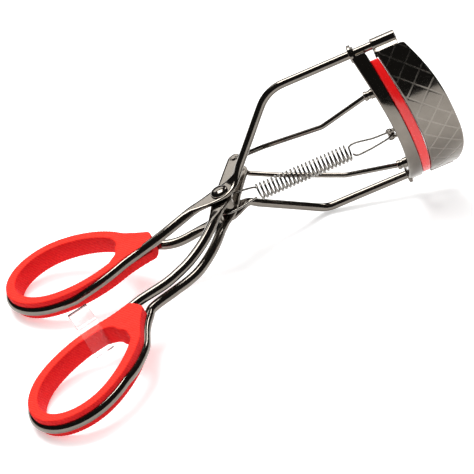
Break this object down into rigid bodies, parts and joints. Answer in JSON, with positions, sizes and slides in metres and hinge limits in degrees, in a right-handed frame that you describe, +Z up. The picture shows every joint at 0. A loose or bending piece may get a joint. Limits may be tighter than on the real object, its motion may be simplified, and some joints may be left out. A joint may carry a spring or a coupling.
{
  "type": "eyelash curler",
  "caption": "Hand-held eyelash curler with a curved clamping jaw, wire frame, two finger loops with soft grips, links and a coil return spring.",
  "frame": {"origin": "middle of the footprint, on the level surface that the curler lies on", "axes": "+Z up; +X from the finger loops towards the jaw along the guide rods; +Y from the lever's loop towards the frame's loop"},
  "size_m": [0.1088, 0.0678, 0.0443],
  "materials": {
    "black_nickel": "polished black nickel plate",
    "grip_red": "matt, finely ribbed",
    "pad_red": "smooth silicone",
    "clear_plastic": "clear, glossy",
    "spring_steel": "bright wire"
  },
  "bodies": {
    "frame": {"guide_rod_upper": "black_nickel", "guide_rod_lower": "black_nickel", "frame_plate_upper": "black_nickel", "frame_plate_lower": "black_nickel", "frame_arm_upper": "black_nickel", "frame_arm_lower": "black_nickel", "frame_loop": "black_nickel", "frame_grip": "grip_red", "top_plate": "black_nickel", "pivot_rivet": "black_nickel", "spacer_bush": "black_nickel", "return_spring": "spring_steel"},
    "lever": {"lever_plate_upper": "black_nickel", "lever_plate_lower": "black_nickel", "lever_arm_upper": "black_nickel", "lever_arm_lower": "black_nickel", "lever_loop": "black_nickel", "lever_grip": "grip_red", "keeper_band": "clear_plastic"},
    "links": {"link_upper": "black_nickel", "link_lower": "black_nickel"},
    "jaw": {"jaw_bar": "black_nickel", "eyelet_upper": "black_nickel", "eyelet_lower": "black_nickel", "link_boss_upper": "black_nickel", "link_boss_lower": "black_nickel", "spring_lug": "black_nickel", "silicone_pad": "pad_red"}
  },
  "joints": [
    {"name": "lever_pivot", "type": "hinge", "parent": "frame", "child": "lever", "pos_m": [-0.00082, 0.01987, 0.01437], "axis": [-0.2153, -0.0262, 0.9762], "range_deg": [0, 32]},
    {"name": "jaw_slide", "type": "slide", "parent": "frame", "child": "jaw", "axis": [-0.9765, 0, -0.2154], "range_m": [0, 0.00723], "deforming": ["return_spring"]},
    {"name": "link_swing", "type": "hinge", "parent": "jaw", "child": "links", "pos_m": [0.03784, 0.02207, 0.02295], "axis": [-0.2153, -0.0262, 0.9762], "range_deg": [-2, 0]}
  ],
  "couplings": [
    {"joint": "jaw_slide", "follows": "lever_pivot", "m_per_rad": 0.012926},
    {"joint": "link_swing", "follows": "lever_pivot", "ratio": -0.04671}
  ]
}
